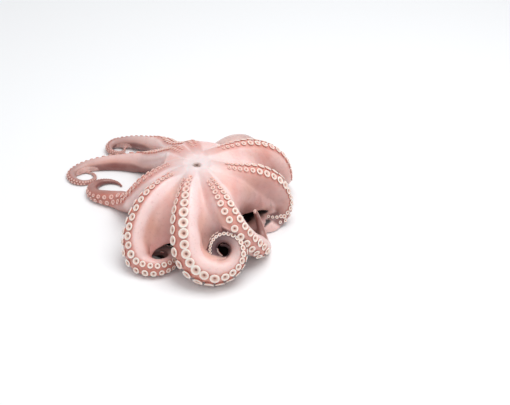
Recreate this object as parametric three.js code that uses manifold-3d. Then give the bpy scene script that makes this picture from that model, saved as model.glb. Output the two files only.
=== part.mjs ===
// A whole octopus at rest on a table: the mouth is on top, the eight arms drape down and out from it,
// joined by the web of skin, and the head and the mantle bag lie folded under the crown, towards the back.
// Millimetres, +Z up, -Y to the front. The origin is on the table, under the crown.
import * as THREE from "three";
import { mergeVertices } from "three/addons/utils/BufferGeometryUtils.js";
import Module from "manifold-3d";

const MOUTH = [5, -16, 113];
const BEAK_OPENING = 6; // radius of the opening in the lips
const BEAK_DEPTH = 12;
const BEAK_REACH = 9; // from the floor of the opening to the tip of the beak

const ARM_SIDES = 8;
const ARM_STEPS = 36;
const ARM_STEPS_CROWD_TO_TIP = 1.35; // over 1, the steps shorten towards the tip
const ROOT_GIRTH_SHARE = 0.5; // an arm is this slim beside the mouth, next to its full girth
const ROOT_LENGTH = 80; // along the arm to its full girth
const TWIST_LENGTH = 40;
const TIP_GIRTH_SHARE = 0.1;
const SUCKER_SIDE = 0.86; // half depths of the section, next to its half width
const BACK_SIDE = 1.22;
const SETTLE = 3; // how far soft flesh that lies on the table sinks
const SETTLE_HEIGHT = 30;
const CURL_STATIONS_PER_TURN = 12;

const WEB_COLUMNS = 4; // from one arm to the next
const WEB_ROWS = 8; // from the mouth to the margin
const WEB_THICKNESS = 4;
const WEB_BULGE = 0.1; // the web stands out between the arms by this share of their distance
const WEB_FUNNEL = -0.3; // and sinks in near its margin
const WEB_FUNNEL_START = 0.4;
const WEB_MARGIN_DIP = 0.28; // how much shorter the web is midway between two arms
const WEB_SINK = 0.35; // how far towards its back the web joins an arm, next to its girth
const UNDER_CENTRE = [15, 22];
const UNDER_RECESS = 0.84; // the flesh under the web stands this much nearer the centre
const BELOW_TABLE = -4;
const SPINE_POINT = [12, 10, -40]; // the draped arms turn their suckers away from here

const CROWN = { at: [8, 24, 90], radii: [44, 40, 18], turn: 11 };
const LIPS = { at: [5, -16, 106], radii: [14, 14, 9], turn: 0 };
const HEAD = { at: [22, 42, 52], radii: [38, 34, 38], turn: -25 };
const MANTLE = { at: [50, 104, 38], radii: [42, 70, 39], turn: -25 };
const EYES = { radius: 11, places: [[-9, 76, 54], [62, 42, 66]] };

// Round the mouth, anticlockwise from the front as seen from above. A route is the middle line of an arm,
// and its curl goes on from there: around "at", "turns" times, shrinking by "shrink" in each turn
// towards the radius "inner", while its centre drifts. The web's margin meets the arm this far along it:
// "web" on the side of the arm before, and "webAfter" on the side of the next.
const ARMS = [
  {
    name: "front",
    girth: 17,
    taper: [0.52, 0.62],
    web: 176,
    webAfter: 206,
    twist: 30,
    route: [
      [0, -21, 107], [-5, -51, 101], [-8, -86, 84], [-9, -112, 62], [-5, -129, 41], [9, -140, 28],
      [31, -145, 24],
    ],
    curl: {
      at: [42, -129, 54],
      axis: [0.05, -0.8, 0.6],
      turns: 1.6,
      shrink: 2.2,
      inner: 10,
      drift: [2, -3, -7],
      sink: -22,
      lean: 22,
    },
  },
  {
    name: "front_right",
    girth: 16,
    taper: [0.58, 0.6],
    web: 140,
    webAfter: 160,
    twist: 0,
    route: [
      [13, -27, 107], [32, -60, 100], [47, -88, 86], [62, -102, 66], [77, -100, 44], [90, -87, 25],
      [99, -70, 13],
    ],
    curl: {
      at: [95, -47, 33],
      axis: [1, 0.1, 0.3],
      turns: 0.62,
      shrink: 0.6,
      inner: 0,
      drift: [0, 0, 0],
      sink: -2,
      lean: 0,
    },
  },
  {
    name: "right",
    girth: 16,
    taper: [0.45, 0.8],
    web: 178,
    webAfter: 178,
    twist: 0,
    route: [
      [24, -10, 107], [56, -9, 100], [87, 1, 87], [111, 10, 69], [127, 14, 46], [132, 12, 27],
      [126, 4, 13],
    ],
    curl: {
      at: [113, 14, 9],
      axis: [0, 0, 1],
      turns: -1.1,
      shrink: 0.9,
      inner: 0,
      drift: [0, 0, 0],
      sink: -4,
      lean: 8,
    },
  },
  {
    name: "back_right",
    girth: 16,
    taper: [0.45, 0.8],
    web: 150,
    webAfter: 150,
    twist: 0,
    route: [
      [19, 15, 109], [50, 38, 105], [82, 57, 95], [109, 71, 77], [127, 80, 50], [132, 89, 26],
      [129, 108, 11],
    ],
    curl: {
      at: [108, 104, 8],
      axis: [0, 0, 1],
      turns: 1.1,
      shrink: 1,
      inner: 0,
      drift: [0, 0, 0],
      sink: -3,
      lean: 8,
    },
  },
  {
    name: "back",
    girth: 15,
    taper: [0.57, 0.9],
    web: 150,
    webAfter: 150,
    twist: 0,
    route: [
      [6, 15, 109], [-3, 51, 98], [-14, 90, 73], [-34, 131, 47], [-52, 173, 29], [-78, 203, 17],
      [-104, 217, 13], [-130, 219, 11],
    ],
    curl: {
      at: [-131, 204, 8],
      axis: [0, 0, 1],
      turns: 0.95,
      shrink: 0.35,
      inner: 0,
      drift: [0, 0, 0],
      sink: -3,
      lean: 16,
    },
  },
  {
    name: "back_left",
    girth: 15.5,
    taper: [0.5, 0.9],
    web: 170,
    webAfter: 170,
    twist: 0,
    route: [
      [-7, 8, 108], [-25, 43, 94], [-42, 83, 66], [-60, 122, 38], [-82, 150, 18], [-112, 160, 11],
      [-146, 160, 9], [-180, 150, 7], [-196, 133, 6],
    ],
    curl: {
      at: [-174, 127, 5],
      axis: [0, 0, 1],
      turns: 0.95,
      shrink: 0.75,
      inner: 0,
      drift: [0, 0, 0],
      sink: -2,
      lean: 16,
    },
  },
  {
    name: "left",
    girth: 15.5,
    taper: [0.55, 0.9],
    web: 150,
    webAfter: 150,
    twist: 0,
    route: [
      [-12, -5, 107], [-36, -1, 98], [-64, -2, 77], [-84, 8, 48], [-97, 28, 23], [-115, 50, 12],
      [-138, 60, 10],
    ],
    curl: {
      at: [-134, 89, 8],
      axis: [0, 0, 1],
      turns: -0.64,
      shrink: 0.45,
      inner: 0,
      drift: [0, 0, 0],
      sink: -3,
      lean: 10,
    },
  },
  {
    name: "front_left",
    girth: 17,
    taper: [0.48, 0.8],
    web: 165,
    webAfter: 165,
    twist: 25,
    route: [
      [-9, -20, 107], [-33, -30, 98], [-57, -48, 82], [-74, -67, 60], [-82, -88, 34], [-74, -109, 16],
      [-54, -119, 13],
    ],
    curl: {
      at: [-50, -89, 11],
      axis: [0, 0, 1],
      turns: 1.1,
      shrink: 1,
      inner: 0,
      drift: [0, 0, 0],
      sink: -4,
      lean: 12,
    },
  },
];

const wasm = await Module();
wasm.setup();

const vector = ([x, y, z]) => new THREE.Vector3(x, y, z);
const clamp01 = (x) => THREE.MathUtils.clamp(x, 0, 1);
const ease = (x) => THREE.MathUtils.smoothstep(x, 0, 1);
const mix = THREE.MathUtils.lerp;

// A closed geometry as a solid.
function solidOf(geometry) {
  geometry.deleteAttribute("normal");
  geometry.deleteAttribute("uv");
  const merged = mergeVertices(geometry, 1e-4);
  const vertProperties = merged.attributes.position.array;
  const triVerts = new Uint32Array(merged.index.array);
  return new wasm.Manifold(new wasm.Mesh({ numProp: 3, vertProperties, triVerts }));
}

// A solid as a geometry.
function geometryOf(solid) {
  const mesh = solid.getMesh();
  const geometry = new THREE.BufferGeometry();
  geometry.setAttribute("position", new THREE.BufferAttribute(mesh.vertProperties, 3));
  geometry.setIndex(new THREE.BufferAttribute(mesh.triVerts, 1));
  const faceted = geometry.toNonIndexed();
  faceted.computeVertexNormals();
  return faceted;
}

// Moves every vertex of a geometry to what "place" makes of its position and uv.
function reshaped(geometry, place) {
  const { position, uv } = geometry.attributes;
  for (let i = 0; i < position.count; i += 1) {
    const from = new THREE.Vector3().fromBufferAttribute(position, i);
    const to = place(from, uv.getX(i), uv.getY(i));
    position.setXYZ(i, to.x, to.y, to.z);
  }
  return geometry;
}

// The stations of an arm's curl, a spiral that goes on from the end of its route.
function curlStations({ route, curl }) {
  const centre = vector(curl.at);
  const axis = vector(curl.axis).normalize();
  const spoke = vector(route.at(-1)).sub(centre);
  const rise = spoke.dot(axis);
  spoke.addScaledVector(axis, -rise);
  const inner = curl.inner / spoke.length();
  const count = Math.round(Math.abs(curl.turns) * CURL_STATIONS_PER_TURN);
  return Array.from({ length: count }, (_, k) => {
    const done = (k + 1) / count;
    const shrunk = mix(Math.exp(-curl.shrink * Math.abs(curl.turns) * done), 1, inner);
    const station = spoke.clone().applyAxisAngle(axis, 2 * Math.PI * curl.turns * done);
    station.multiplyScalar(shrunk);
    station.add(centre).addScaledVector(vector(curl.drift), done);
    return station.addScaledVector(axis, mix(rise, curl.sink, done));
  });
}

// An arm with its middle line, and the way its suckers face: away from the spine at first,
// and away from the curl's centre further out.
function armLine(arm) {
  const stations = arm.route.map(vector);
  const routeLength = stations.slice(1).reduce((sum, p, i) => sum + p.distanceTo(stations[i]), 0);
  const line = new THREE.CatmullRomCurve3([...stations, ...curlStations(arm)], false, "centripetal");
  line.arcLengthDivisions = 900;
  const axis = vector(arm.curl.axis).normalize();
  const curlCore = vector(arm.curl.at).addScaledVector(axis, -arm.curl.lean);
  return { ...arm, line, length: line.getLength(), routeLength, curlCore };
}

// Middle, directions and girth of an arm at a distance s from its root.
function armAt(arm, s) {
  const share = clamp01(s / arm.length);
  const middle = arm.line.getPointAt(share);
  middle.z -= SETTLE * (1 - ease(middle.z / SETTLE_HEIGHT));
  const along = arm.line.getTangentAt(share);
  const toCurl = ease((s - 0.45 * arm.routeLength) / (0.6 * arm.routeLength));
  const core = vector(SPINE_POINT).lerp(arm.curlCore, toCurl);
  const suckers = middle.clone().sub(core);
  suckers.addScaledVector(along, -suckers.dot(along));
  suckers.normalize();
  suckers.applyAxisAngle(along, THREE.MathUtils.degToRad(arm.twist) * (1 - toCurl) * ease(s / TWIST_LENGTH));
  const across = along.clone().cross(suckers);
  const [start, power] = arm.taper;
  const thinned = clamp01((share - start) / (1 - start)) ** power;
  const rooted = mix(ROOT_GIRTH_SHARE, 1, ease(s / ROOT_LENGTH));
  const radius = arm.girth * rooted * (1 - (1 - TIP_GIRTH_SHARE) * thinned);
  return { middle, along, suckers, across, radius };
}

// An arm, from beside the mouth to its tip.
function armSolid(arm) {
  const tube = new THREE.CylinderGeometry(1, 1, 1, ARM_SIDES, ARM_STEPS);
  return solidOf(
    reshaped(tube, ({ x, y, z }) => {
      const share = 1 - (0.5 - y) ** ARM_STEPS_CROWD_TO_TIP;
      const { middle, suckers, across, radius } = armAt(arm, share * arm.length);
      const outward = z * (z > 0 ? SUCKER_SIDE : BACK_SIDE);
      return middle.addScaledVector(across, x * radius).addScaledVector(suckers, outward * radius);
    }),
  );
}

// A point of the web: "round" counts arms, so 2.5 is midway from arm 2 to arm 3,
// and "down" runs from 0 at the mouth to 1 at the margin.
function webPoint(arms, round, down) {
  const first = Math.floor(round) % arms.length;
  const between = round - Math.floor(round);
  const left = arms[first];
  const right = arms[(first + 1) % arms.length];
  const arch = 4 * between * (1 - between);
  const reach = down * (1 - WEB_MARGIN_DIP * arch);
  const a = armAt(left, reach * left.webAfter);
  const b = armAt(right, reach * right.web);
  const bulge = mix(WEB_BULGE, WEB_FUNNEL, ease((down - WEB_FUNNEL_START) / (1 - WEB_FUNNEL_START)));
  const outward = a.suckers.clone().add(b.suckers).normalize();
  const stand = WEB_THICKNESS / 2 + bulge * arch * a.middle.distanceTo(b.middle);
  const sink = WEB_SINK * ease(3 * down);
  a.middle.addScaledVector(a.suckers, -sink * a.radius);
  b.middle.addScaledVector(b.suckers, -sink * b.radius);
  return a.middle.lerp(b.middle, between).addScaledVector(outward, stand);
}

// The web from the lips to its margin, filled with the flesh beneath it down to the table.
function bodySolid(arms) {
  const ball = new THREE.SphereGeometry(1, WEB_COLUMNS * arms.length, 2 * WEB_ROWS);
  return solidOf(
    reshaped(ball, (from, u, v) => {
      const round = ((u + 1) * arms.length) % arms.length;
      const down = 2 * (1 - v);
      if (down < 1e-6) return vector(MOUTH);
      if (down < 1 + 1e-6) return webPoint(arms, round, down);
      const under = down - 1;
      const margin = webPoint(arms, round, 1);
      const recess = mix(1, UNDER_RECESS, ease(4 * under)) * (1 - ease((under - 0.5) / 0.5));
      const x = mix(UNDER_CENTRE[0], margin.x, recess);
      const y = mix(UNDER_CENTRE[1], margin.y, recess);
      return new THREE.Vector3(x, y, mix(margin.z, BELOW_TABLE, ease(2 * under)));
    }),
  );
}

function bagSolid({ at, radii, turn }, columns = 20, rows = 12) {
  const bag = new THREE.SphereGeometry(1, columns, rows);
  bag.rotateX(Math.PI / 2);
  bag.scale(...radii);
  bag.rotateZ(THREE.MathUtils.degToRad(turn));
  bag.translate(...at);
  return solidOf(bag);
}

function eyeSolid(at) {
  const { radius } = EYES;
  return bagSolid({ at, radii: [radius, radius, radius], turn: 0 }, 10, 6);
}

// The opening in the lips, with the tip of the beak left standing in it.
function mouthCut() {
  const opening = new THREE.CylinderGeometry(BEAK_OPENING, BEAK_OPENING * 0.6, 2 * BEAK_DEPTH, 12);
  opening.rotateX(Math.PI / 2);
  opening.translate(...MOUTH);
  const beak = new THREE.ConeGeometry(BEAK_OPENING * 0.5, BEAK_REACH + 1, 8);
  beak.rotateX(Math.PI / 2);
  beak.translate(MOUTH[0], MOUTH[1], MOUTH[2] - BEAK_DEPTH + BEAK_REACH / 2 - 0.5);
  return solidOf(opening).subtract(solidOf(beak));
}

// Everything below the table's top, which the soft flesh lies flat on.
function tableSolid() {
  const table = new THREE.BoxGeometry(1000, 1000, 100);
  table.translate(0, 0, -50);
  return solidOf(table);
}

function octopusSolid() {
  const arms = ARMS.map(armLine);
  const bags = [CROWN, LIPS, HEAD, MANTLE].map((bag) => bagSolid(bag));
  const body = bags.reduce((flesh, bag) => flesh.add(bag), bodySolid(arms));
  const withEyes = EYES.places.map(eyeSolid).reduce((flesh, eye) => flesh.add(eye), body);
  const withArms = arms.map(armSolid).reduce((flesh, arm) => flesh.add(arm), withEyes);
  return withArms.subtract(mouthCut()).subtract(tableSolid());
}

const skin = new THREE.MeshStandardMaterial({ color: "#d9a8a2", roughness: 0.35, metalness: 0 });
const octopus = new THREE.Mesh(geometryOf(octopusSolid()), skin);
octopus.name = "octopus";

const group = new THREE.Group();
group.add(octopus);

export default group;
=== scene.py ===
import math

import bmesh
import bpy
import numpy as np
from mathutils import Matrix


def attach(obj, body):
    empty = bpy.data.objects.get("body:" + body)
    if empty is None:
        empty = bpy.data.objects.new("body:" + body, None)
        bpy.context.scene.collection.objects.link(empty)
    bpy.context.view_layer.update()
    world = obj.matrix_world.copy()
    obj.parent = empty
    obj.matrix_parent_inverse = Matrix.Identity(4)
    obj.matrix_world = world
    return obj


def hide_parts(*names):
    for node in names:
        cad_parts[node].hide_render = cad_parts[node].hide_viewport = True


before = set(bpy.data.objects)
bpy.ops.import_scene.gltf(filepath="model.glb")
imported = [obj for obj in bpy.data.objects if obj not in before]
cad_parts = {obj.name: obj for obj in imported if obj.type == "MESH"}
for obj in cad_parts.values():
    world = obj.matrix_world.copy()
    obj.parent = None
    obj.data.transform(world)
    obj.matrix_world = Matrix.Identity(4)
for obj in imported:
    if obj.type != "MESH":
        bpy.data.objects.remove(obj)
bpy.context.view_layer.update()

import openvdb
from mathutils import Vector
from mathutils.bvhtree import BVHTree
from mathutils.kdtree import KDTree

METRE = 0.001  # one millimetre


# --- The table and the light ---------------------------------------------------------------------------
# A pale, matt studio table that runs on past every edge of the view, with one broad soft lamp overhead,
# a second from the front and a pale room all round, as for a fishmonger's catalogue.

TABLE_SIZE = 12.0
TABLE_WHITE = (0.93, 0.94, 0.95, 1.0)
TABLE_ROUGHNESS = 0.55
ROOM_LIGHT = (0.98, 0.985, 1.0, 1.0)
ROOM_STRENGTH = 0.62
LAMPS = [  # name, place, what it points at, size, power
    ("overhead", (0.35, 0.05, 1.5), (0.0, 0.0, 0.0), 1.2, 14.5),
    ("front", (0.2, -1.6, 1.2), (0.0, 0.0, 0.05), 1.0, 3.5),
]
CAMERA_TARGET = (0.087, 0.060, 0.0)
CAMERA_DISTANCE = 2.1
CAMERA_ELEVATION = math.radians(34.0)
LENS = 98.8
SENSOR_WIDTH = 36.0

scene = bpy.context.scene


def link(piece):
    scene.collection.objects.link(piece)
    return piece


def mesh_object(name, points, faces, smooth=True):
    """A new piece from points in millimetres."""
    mesh = bpy.data.meshes.new(name)
    mesh.from_pydata((np.asarray(points, float) * METRE).tolist(), [], [tuple(map(int, f)) for f in faces])
    mesh.update()
    mesh.shade_smooth() if smooth else mesh.shade_flat()
    return link(bpy.data.objects.new(name, mesh))


half = TABLE_SIZE / METRE / 2
corners = [(-half, -half, 0), (half, -half, 0), (half, half, 0), (-half, half, 0)]
table = mesh_object("table", corners, [(0, 1, 2, 3)], smooth=False)
table_finish = bpy.data.materials.new("white_table")
table_finish.use_nodes = True
table_shader = table_finish.node_tree.nodes["Principled BSDF"]
table_shader.inputs["Base Color"].default_value = TABLE_WHITE
table_shader.inputs["Roughness"].default_value = TABLE_ROUGHNESS
table.data.materials.append(table_finish)

for name, place, target, size, power in LAMPS:
    light = bpy.data.lights.new(name, "AREA")
    light.shape = "DISK"
    light.size = size
    light.energy = power
    lamp = link(bpy.data.objects.new(name, light))
    lamp.location = place
    lamp.rotation_euler = (Vector(target) - Vector(place)).to_track_quat("-Z", "Y").to_euler()

room = bpy.data.worlds.new("pale_room")
room.use_nodes = True
room.node_tree.nodes["Background"].inputs["Color"].default_value = ROOM_LIGHT
room.node_tree.nodes["Background"].inputs["Strength"].default_value = ROOM_STRENGTH
scene.world = room
scene.view_settings.view_transform = "Standard"

lens = bpy.data.cameras.new("camera")
lens.lens = LENS
lens.sensor_width = SENSOR_WIDTH
lens.sensor_fit = "HORIZONTAL"
lens.clip_start = 0.05
camera = link(bpy.data.objects.new("camera", lens))
looking = Vector((0.0, math.cos(CAMERA_ELEVATION), -math.sin(CAMERA_ELEVATION)))
camera.location = Vector(CAMERA_TARGET) - looking * CAMERA_DISTANCE
camera.rotation_euler = looking.to_track_quat("-Z", "Y").to_euler()
scene.camera = camera


# --- The eight arms ------------------------------------------------------------------------------------
# Tapering muscle, deepest on the back and flattened on the side that carries the two rows of suckers.
# Each arm runs from beside the mouth over the crown and down to the table, and its tip curls up with the
# suckers outside.

# "girth" is an arm's radius, and "taper" from where along it and how fast it thins. "web" and "web_after" are
# how far along it the web's margin meets it, towards the arm before and after. "twist" turns its suckers,
# "cup" is their size and "blush" how pink they are. "shade" is how much painted shade darkens the inside of
# its curl and its tip, and "tan" how brown it is beyond the web. Its curl goes round "at", on from the
# "route".
ARMS = [  # anticlockwise from the front, seen from above
    {  # front
        "girth": 18, "taper": (0.52, 0.62), "web": 176, "web_after": 206, "twist": 30, "shade": (1.0, 0.2),
        "cup": 1.0,
        "route": [(0, -21, 107), (-5, -51, 101), (-8, -86, 84), (-9, -112, 62), (-5, -129, 41),
                  (9, -140, 28), (31, -145, 24)],
        "at": (42, -129, 54), "axis": (0.05, -0.8, 0.6), "turns": 1.6, "shrink": 2.2, "inner": 10,
        "sink": -22, "lean": 22, "drift": (2, -3, -7),
    },
    {  # front_right
        "girth": 16, "taper": (0.58, 0.6), "web": 140, "web_after": 160, "shade": (0.0, 0.0), "cup": 0.85,
        "route": [(13, -27, 107), (32, -60, 100), (47, -88, 86), (62, -102, 66), (77, -100, 44),
                  (90, -87, 25), (99, -70, 13)],
        "at": (95, -47, 33), "axis": (1, 0.1, 0.3), "turns": 0.62, "shrink": 0.6, "sink": -2, "lean": 0,
    },
    {  # right
        "girth": 16, "taper": (0.45, 0.8), "web": 178, "shade": (1.0, 1.0), "cup": 0.88,
        "route": [(24, -10, 107), (56, -9, 100), (87, 1, 87), (111, 10, 69), (127, 14, 46), (132, 12, 27),
                  (126, 4, 13)],
        "at": (113, 14, 9), "turns": -1.1, "shrink": 0.9, "sink": -4, "lean": 8,
    },
    {  # back_right
        "girth": 16, "taper": (0.45, 0.8), "web": 150, "shade": (0.4, 0.0), "cup": 0.82, "blush": 0.2,
        "route": [(19, 15, 109), (50, 38, 105), (82, 57, 95), (109, 71, 77), (127, 80, 50), (132, 89, 26),
                  (129, 108, 11)],
        "at": (108, 104, 8), "turns": 1.1, "shrink": 1.0, "sink": -3, "lean": 8,
    },
    {  # back
        "girth": 15, "taper": (0.57, 0.9), "web": 150, "shade": (0.4, 0.0), "cup": 0.62, "blush": 0.7,
        "route": [(6, 15, 109), (-3, 51, 98), (-14, 90, 73), (-34, 131, 47), (-52, 173, 29),
                  (-78, 203, 17), (-104, 217, 13), (-130, 219, 11)],
        "at": (-131, 204, 8), "turns": 0.95, "shrink": 0.35, "sink": -3, "lean": 16,
    },
    {  # back_left
        "girth": 15.5, "taper": (0.5, 0.9), "web": 170, "shade": (0.4, 0.0), "cup": 0.62, "blush": 0.8,
        "tan": 0.15,
        "route": [(-7, 8, 108), (-25, 43, 94), (-42, 83, 66), (-60, 122, 38), (-82, 150, 18),
                  (-112, 160, 11), (-146, 160, 9), (-180, 150, 7), (-196, 133, 6)],
        "at": (-174, 127, 5), "turns": 0.95, "shrink": 0.75, "sink": -2, "lean": 16,
    },
    {  # left
        "girth": 15.5, "taper": (0.55, 0.9), "web": 150, "shade": (0.4, 0.0), "cup": 0.64, "blush": 1.0,
        "tan": 0.8,
        "route": [(-12, -5, 107), (-36, -1, 98), (-64, -2, 77), (-84, 8, 48), (-97, 28, 23),
                  (-115, 50, 12), (-138, 60, 10)],
        "at": (-134, 89, 8), "turns": -0.64, "shrink": 0.45, "sink": -3, "lean": 10,
    },
    {  # front_left
        "girth": 17, "taper": (0.48, 0.8), "web": 165, "twist": 25, "shade": (0.6, 0.0), "cup": 0.85,
        "route": [(-9, -20, 107), (-33, -30, 98), (-57, -48, 82), (-74, -67, 60), (-82, -88, 34),
                  (-74, -109, 16), (-54, -119, 13)],
        "at": (-50, -89, 11), "turns": 1.1, "shrink": 1.0, "sink": -4, "lean": 12,
    },
]
UPRIGHT = (0, 0, 1)
SPINE_POINT = (12, 10, -40)  # the draped arms turn their suckers away from here
STATION_STEP = 2.0
CURL_STATIONS_PER_TURN = 12
ROOT_GIRTH_SHARE = 0.5
ROOT_LENGTH = 80
TIP_GIRTH_SHARE = 0.1
SETTLE = 3.0
SETTLE_HEIGHT = 30.0
SUCKER_SIDE = 0.86  # half depths of the section, next to its half width
BACK_SIDE = 1.22
ARM_SIDES = 24


def ease(x):
    x = np.clip(x, 0.0, 1.0)
    return x * x * (3.0 - 2.0 * x)


def unit(v):
    return v / np.linalg.norm(v, axis=-1, keepdims=True)


def turned(v, axis, angle):
    """v turned about a unit axis, by an angle or one angle for each row."""
    c, s = np.cos(angle), np.sin(angle)
    along = np.sum(v * axis, axis=-1, keepdims=True) if np.ndim(v) > 1 else v @ axis
    return v * c + np.cross(axis, v) * s + axis * along * (1.0 - c)


def curl_stations(arm):
    """The spiral that goes on from the end of an arm's route."""
    centre = np.array(arm["at"], float)
    axis = unit(np.array(arm.get("axis", UPRIGHT), float))
    spoke = np.array(arm["route"][-1], float) - centre
    rise = spoke @ axis
    spoke = spoke - axis * rise
    inner = arm.get("inner", 0) / np.linalg.norm(spoke)
    drift = np.array(arm.get("drift", (0, 0, 0)), float)
    count = round(abs(arm["turns"]) * CURL_STATIONS_PER_TURN)
    stations = []
    for k in range(1, count + 1):
        done = k / count
        shrunk = inner + (1 - inner) * math.exp(-arm["shrink"] * abs(arm["turns"]) * done)
        spot = turned(spoke, axis, 2 * math.pi * arm["turns"] * done) * shrunk
        stations.append(centre + spot + drift * done + axis * (rise * (1 - done) + arm["sink"] * done))
    return stations


def smooth_line(stations, per_span=14):
    """A centripetal Catmull-Rom curve through the stations."""
    p = np.vstack([2 * stations[0] - stations[1], stations, 2 * stations[-1] - stations[-2]])
    line = []
    for p0, p1, p2, p3 in zip(p, p[1:], p[2:], p[3:]):
        t1 = math.sqrt(np.linalg.norm(p1 - p0))
        t2 = t1 + math.sqrt(np.linalg.norm(p2 - p1))
        t3 = t2 + math.sqrt(np.linalg.norm(p3 - p2))
        t = np.linspace(t1, t2, per_span, endpoint=False)[:, None]
        a1 = (t1 - t) / t1 * p0 + t / t1 * p1
        a2 = (t2 - t) / (t2 - t1) * p1 + (t - t1) / (t2 - t1) * p2
        a3 = (t3 - t) / (t3 - t2) * p2 + (t - t2) / (t3 - t2) * p3
        b1 = (t2 - t) / t2 * a1 + t / t2 * a2
        b2 = (t3 - t) / (t3 - t1) * a2 + (t - t1) / (t3 - t1) * a3
        line.append((t2 - t) / (t2 - t1) * b1 + (t - t1) / (t2 - t1) * b2)
    return np.vstack(line + [stations[-1][None]])


class Arm:
    """One arm as rows of equal steps along its middle line."""

    def __init__(self, spec):
        route = np.array(spec["route"], float)
        line = smooth_line(np.vstack([route, curl_stations(spec)]))
        travelled = np.r_[0.0, np.cumsum(np.linalg.norm(np.diff(line, axis=0), axis=1))]
        self.cup = spec["cup"]
        self.blush = spec.get("blush", 0.0)
        self.tan = spec.get("tan", 0.0)
        self.shade = spec["shade"]
        self.web = spec["web"]
        self.web_after = spec.get("web_after", self.web)
        self.length = travelled[-1]
        self.s = np.linspace(0.0, self.length, int(self.length / STATION_STEP) + 1)
        self.middle = np.stack([np.interp(self.s, travelled, line[:, k]) for k in range(3)], axis=1)
        self.middle[:, 2] -= SETTLE * (1 - ease(self.middle[:, 2] / SETTLE_HEIGHT))
        self.along = unit(np.gradient(self.middle, axis=0))
        route_length = np.linalg.norm(np.diff(route, axis=0), axis=1).sum()
        to_curl = ease((self.s - 0.45 * route_length) / (0.6 * route_length))[:, None]
        axis = unit(np.array(spec.get("axis", UPRIGHT), float))
        curl_core = np.array(spec["at"], float) - axis * spec["lean"]
        away = self.middle - (np.array(SPINE_POINT) * (1 - to_curl) + curl_core * to_curl)
        facing = unit(away - self.along * np.sum(away * self.along, axis=1, keepdims=True))
        rooted = ease(self.s / 40.0)[:, None]
        twist = math.radians(spec.get("twist", 0)) * (1 - to_curl) * rooted
        self.suckers = unit(turned(facing, self.along, twist))
        self.across = np.cross(self.along, self.suckers)
        start, power = spec["taper"]
        thinned = np.clip((self.s / self.length - start) / (1 - start), 0, 1) ** power
        rooted = ROOT_GIRTH_SHARE + (1 - ROOT_GIRTH_SHARE) * ease(self.s / ROOT_LENGTH)
        self.radius = spec["girth"] * rooted * (1 - (1 - TIP_GIRTH_SHARE) * thinned)

    def at(self, s, rows):
        return np.stack([np.interp(s, self.s, rows[:, k]) for k in range(3)], axis=-1)

    def section(self, turn):
        """Distance from the middle line to the skin at an angle from the sucker side, for a radius of 1."""
        facing, sideways = np.cos(turn), np.sin(turn)
        depth = np.where(facing > 0, SUCKER_SIDE, BACK_SIDE)
        return 1.0 / np.sqrt((facing / depth) ** 2 + sideways**2)


arms = [Arm(spec) for spec in ARMS]


def tube(arm):
    """Points and faces of a closed arm."""
    turns = np.linspace(0, 2 * math.pi, ARM_SIDES, endpoint=False)
    reach = arm.section(turns)[None, :, None] * arm.radius[:, None, None]
    spokes = np.cos(turns)[None, :, None] * arm.suckers[:, None]
    spokes = spokes + np.sin(turns)[None, :, None] * arm.across[:, None]
    rings = arm.middle[:, None] + spokes * reach
    count = len(rings)
    root = arm.middle[0] - arm.along[0] * arm.radius[0] * 0.7
    tip = arm.middle[-1] + arm.along[-1] * arm.radius[-1]
    points = np.vstack([rings.reshape(-1, 3), root, tip])
    quads = [
        (r * ARM_SIDES + k, r * ARM_SIDES + (k + 1) % ARM_SIDES, (r + 1) * ARM_SIDES + (k + 1) % ARM_SIDES,
         (r + 1) * ARM_SIDES + k)
        for r in range(count - 1)
        for k in range(ARM_SIDES)
    ]
    last = (count - 1) * ARM_SIDES
    caps = [((k + 1) % ARM_SIDES, k, len(points) - 2) for k in range(ARM_SIDES)]
    caps += [(last + k, last + (k + 1) % ARM_SIDES, len(points) - 1) for k in range(ARM_SIDES)]
    return points, quads, caps


# --- The web -------------------------------------------------------------------------------------------
# One sheet of skin that joins the arms from the mouth down. It stands out a little high up, sinks in as
# a funnel lower down, and ends in a concave margin between each two arms, over the dark hollow under the
# crown.

MOUTH = (5.0, -16.0, 112.5)
WEB_COLUMNS = 14
WEB_ROWS = 70
WEB_THICKNESS = 4.6
WEB_MARGIN_THICKNESS = 2.8
WEB_BULGE = 0.10
WEB_FUNNEL = -0.30
WEB_FUNNEL_START = 0.40
WEB_MARGIN_DIP = 0.28
WEB_SINK = 0.35  # how far towards an arm's back the web joins it, next to the arm's radius


def web_grid():
    """Middle points and outward directions of the sheet: rows from the mouth, columns round it."""
    down = np.linspace(0.0, 1.0, WEB_ROWS + 1)[1:]
    points = []
    for left, right in zip(arms, arms[1:] + arms[:1]):
        for k in range(WEB_COLUMNS):
            between = k / WEB_COLUMNS
            arch = 4 * between * (1 - between)
            reach = down * (1 - WEB_MARGIN_DIP * arch)
            a, b = left.at(reach * left.web_after, left.middle), right.at(reach * right.web, right.middle)
            na, nb = left.at(reach * left.web_after, left.suckers), right.at(reach * right.web, right.suckers)
            ra = np.interp(reach * left.web_after, left.s, left.radius)
            rb = np.interp(reach * right.web, right.s, right.radius)
            a = a - na * (ra * WEB_SINK * ease(down * 3))[:, None]
            b = b - nb * (rb * WEB_SINK * ease(down * 3))[:, None]
            out = unit(na * (1 - between) + nb * between)
            funnel = ease((down - WEB_FUNNEL_START) / (1 - WEB_FUNNEL_START))
            bulge = WEB_BULGE * (1 - funnel) + WEB_FUNNEL * funnel
            stand = bulge * arch * np.linalg.norm(b - a, axis=1)
            points.append(a * (1 - between) + b * between + out * stand[:, None])
    points = np.stack(points, axis=1)
    downward = np.gradient(points, axis=0)
    sideways = np.roll(points, -1, axis=1) - np.roll(points, 1, axis=1)
    outward = unit(np.cross(downward, sideways))
    for _ in range(3):
        outward = unit(outward + (np.roll(outward, 1, axis=1) + np.roll(outward, -1, axis=1)) / 2)
    return points, outward


web_middle, web_outward = web_grid()


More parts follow.
